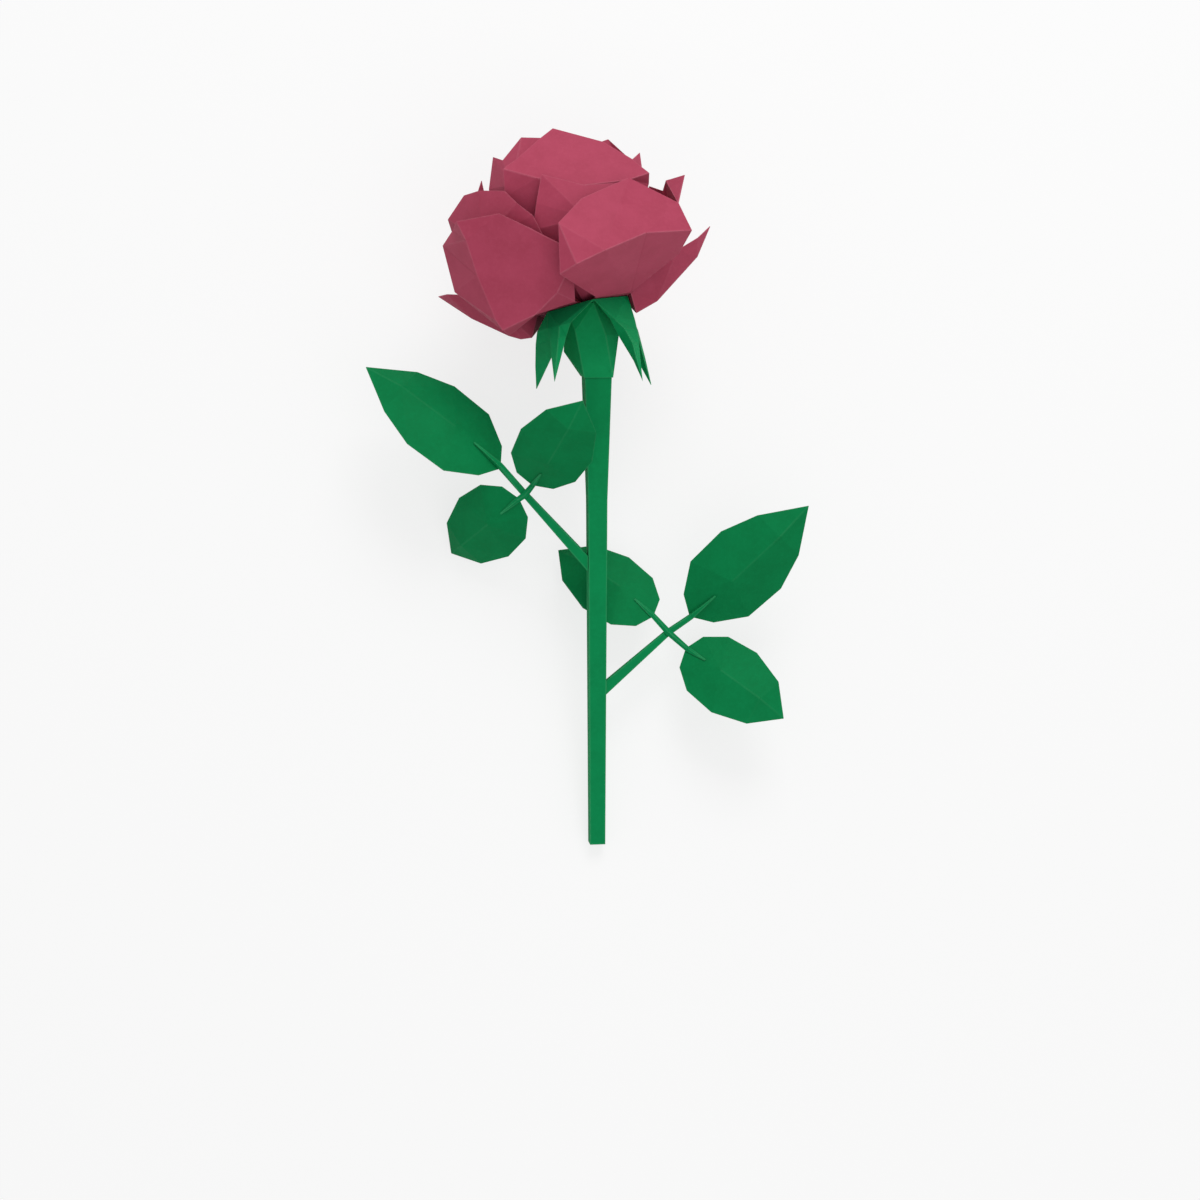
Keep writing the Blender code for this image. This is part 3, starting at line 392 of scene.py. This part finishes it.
def gap_tables(sheet, flag, turn):
    """For each corner, its distance to the three sides of its triangle and what those sides are.

    The distance to a side is the triangle's height over it at the corner opposite and nothing at its
    two ends, so it is exact in between. A side that is no cut counts as far, and one that is no fold
    has no power.
    """
    tables = {"fold_gap": [], "ridge_power": [], "valley_shade_power": [], "cut_gap": []}
    for face in sheet.faces:
        loops = list(face.loops)
        area = face.calc_area()
        heights = [2 * area / max(loop.edge.calc_length(), SHORTEST_SIDE) for loop in loops]
        others = [other_face(loop.edge, face) for loop in loops]
        turns = [face[turn] or (other[turn] if other else 0.0) for other in others]
        cuts = [bool(face[flag]) or bool(other and other[flag]) for other in others]
        for corner in range(3):
            gaps = [heights[side] if corner == (side + 2) % 3 else 0.0 for side in range(3)]
            inside_strip = face[turn] != 0.0
            tables["fold_gap"].append([0.0 if inside_strip else gap for gap in gaps])
            tables["ridge_power"].append([fold_power(t) if t > 0 else 0.0 for t in turns])
            # Strength of the painted shade line along each inward fold
            tables["valley_shade_power"].append([fold_power(t) if t < 0 else 0.0 for t in turns])
            if face[flag]:
                tables["cut_gap"].append([0.0, 0.0, 0.0])
            else:
                tables["cut_gap"].append([gap if is_cut else FAR for gap, is_cut in zip(gaps, cuts)])
    return tables


def other_face(edge, face):
    """The face across an edge, or None at an open edge."""
    for linked in edge.link_faces:
        if linked is not face:
            return linked
    return None


def refined(node, material):
    """Makes the refined copy of one CAD node and gives it its place in the model."""
    sheet = merged_sheet(node)
    flag = mark_cut_faces(sheet)
    turn = round_folds(sheet, flag)
    bmesh.ops.triangulate(sheet, faces=sheet.faces, quad_method="BEAUTY", ngon_method="BEAUTY")
    tables = gap_tables(sheet, flag, turn)
    mesh = bpy.data.meshes.new(node + "_card")
    sheet.to_mesh(mesh)
    sheet.free()
    for name, rows in tables.items():
        layer = mesh.attributes.new(name, "FLOAT_VECTOR", "CORNER")
        layer.data.foreach_set("vector", np.array(rows, np.float32).ravel())
    mesh.materials.clear()
    mesh.materials.append(material)
    piece = bpy.data.objects.new(node + "_card", mesh)
    bpy.context.scene.collection.objects.link(piece)
    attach(piece, "root")
    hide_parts(node)


def flower():
    """All pieces of the flower, each in the card of its own slot."""
    crimson = (CRIMSON, CRIMSON_LIGHT, CRIMSON_DARK, CRIMSON_CORE)
    leaf = (LEAF_GREEN, LEAF_GREEN_LIGHT, LEAF_GREEN_DARK, GREEN_CORE)
    stem = (STEM_GREEN, STEM_GREEN_LIGHT, STEM_GREEN_DARK, GREEN_CORE)
    # Greens painted lighter for the calyx and hip, as painted light
    calyx = (CALYX_PAINTED_LIGHT_GREEN, CALYX_PAINTED_LIGHT_GREEN_PALE, CALYX_PAINTED_LIGHT_GREEN_DEEP, GREEN_CORE)
    cards = {
        "crimson_card": card(
            "crimson_card_paper", *crimson, FOLD_WEAR, CARD_ROUGHNESS, CRIMSON_SHINE
        ),
        "deep_crimson_card": card(
            "deep_crimson_card_paper", *crimson, LIGHT_FOLD_WEAR, DEEP_CRIMSON_ROUGHNESS, CRIMSON_SHINE
        ),
        "leaf_green_card": card(
            "leaf_green_card_paper", *leaf, LIGHT_FOLD_WEAR, CARD_ROUGHNESS, GREEN_SHINE
        ),
        "stem_green_card": card(
            "stem_green_card_paper", *stem, FOLD_WEAR, CARD_ROUGHNESS, GREEN_SHINE
        ),
    }
    # The calyx and hip get the stem's card with painted light: its greens are painted lighter
    calyx_card_painted_light = card("calyx_green_card_paper_painted_light", *calyx, FOLD_WEAR, CARD_ROUGHNESS, GREEN_SHINE)
    for row in frame["record"]["subparts"]:
        slot = row["material_slot"]
        material = calyx_card_painted_light if row["node"] in CALYX_PIECES else cards[slot]
        refined(row["node"], material)


def white_world():
    """An even pale sky; the camera sees plain white."""
    world = bpy.data.worlds.new("studio")
    bpy.context.scene.world = world
    world.use_nodes = True
    nodes = world.node_tree.nodes
    links = world.node_tree.links
    sky = nodes["Background"]
    sky.inputs["Color"].default_value = WHITE
    sky.inputs["Strength"].default_value = SKY_STRENGTH
    seen = nodes.new("ShaderNodeBackground")
    seen.inputs["Color"].default_value = WHITE
    seen.inputs["Strength"].default_value = BACKGROUND_STRENGTH
    mix = nodes.new("ShaderNodeMixShader")
    rays = nodes.new("ShaderNodeLightPath")
    links.new(rays.outputs["Is Camera Ray"], mix.inputs[0])
    links.new(sky.outputs[0], mix.inputs[1])
    links.new(seen.outputs[0], mix.inputs[2])
    links.new(mix.outputs[0], nodes["World Output"].inputs["Surface"])


def pale_floor():
    """A plain pale floor that the flower lies on, whitened for the camera alone."""
    mesh = bpy.data.meshes.new("floor")
    corners = np.array([(-1, -1), (1, -1), (1, 1), (-1, 1)], float) * FLOOR_HALF
    mesh.from_pydata([(x, y, 0.0) for x, y in corners], [], [(0, 1, 2, 3)])
    floor = bpy.data.objects.new("floor", mesh)
    bpy.context.scene.collection.objects.link(floor)
    finish = Finish("floor_paint")
    finish.surface.inputs["Base Color"].default_value = FLOOR_PAINT
    finish.surface.inputs["Roughness"].default_value = FLOOR_ROUGHNESS
    finish.surface.inputs["Specular IOR Level"].default_value = FLOOR_SHINE
    seen = finish.node("ShaderNodeLightPath", {}, {}, "Is Camera Ray")
    white = finish.node("ShaderNodeEmission", {}, {"Color": WHITE, "Strength": FLOOR_WHITE_STRENGTH})
    painted = Shade(finish, finish.surface.outputs[0])
    mixed = finish.node("ShaderNodeMixShader", {}, {0: seen * FLOOR_WHITENING, 1: painted, 2: white})
    output = finish.tree.nodes["Material Output"]
    finish.feed(output.inputs["Surface"], mixed)
    mesh.materials.append(finish.material)


def aimed(place, aim, up):
    """Placement at place that looks along aim, with up towards the top of the picture."""
    back = -Vector(aim).normalized()
    right = Vector(up).cross(back).normalized()
    top = back.cross(right)
    turn = Matrix((right, top, back)).transposed()
    return Matrix.Translation(Vector(place)) @ turn.to_4x4()


def softbox(name, watts, size, place):
    """A square area light that faces the middle of the floor under the flower."""
    lamp = bpy.data.lights.new(name, "AREA")
    lamp.energy = watts
    lamp.shape = "SQUARE"
    lamp.size = size
    holder = bpy.data.objects.new(name, lamp)
    bpy.context.scene.collection.objects.link(holder)
    holder.matrix_world = aimed(place, -Vector(place), (0.0, 0.0, 1.0))


def camera():
    """The camera, at the photograph's angle to the flower."""
    view = bpy.data.cameras.new("camera")
    view.lens = CAMERA_LENS
    view.sensor_width = CAMERA_SENSOR
    view.clip_end = CAMERA_REACH
    holder = bpy.data.objects.new("camera", view)
    bpy.context.scene.collection.objects.link(holder)
    holder.matrix_world = aimed(CAMERA_PLACE, CAMERA_LOOK, CAMERA_UP)
    bpy.context.scene.camera = holder


camera()
flower()
pale_floor()
white_world()
softbox("key_light", KEY_WATTS, KEY_SIZE, KEY_PLACE)
softbox("fill_light", FILL_WATTS, FILL_SIZE, FILL_PLACE)
bpy.context.scene.view_settings.view_transform = "Standard"
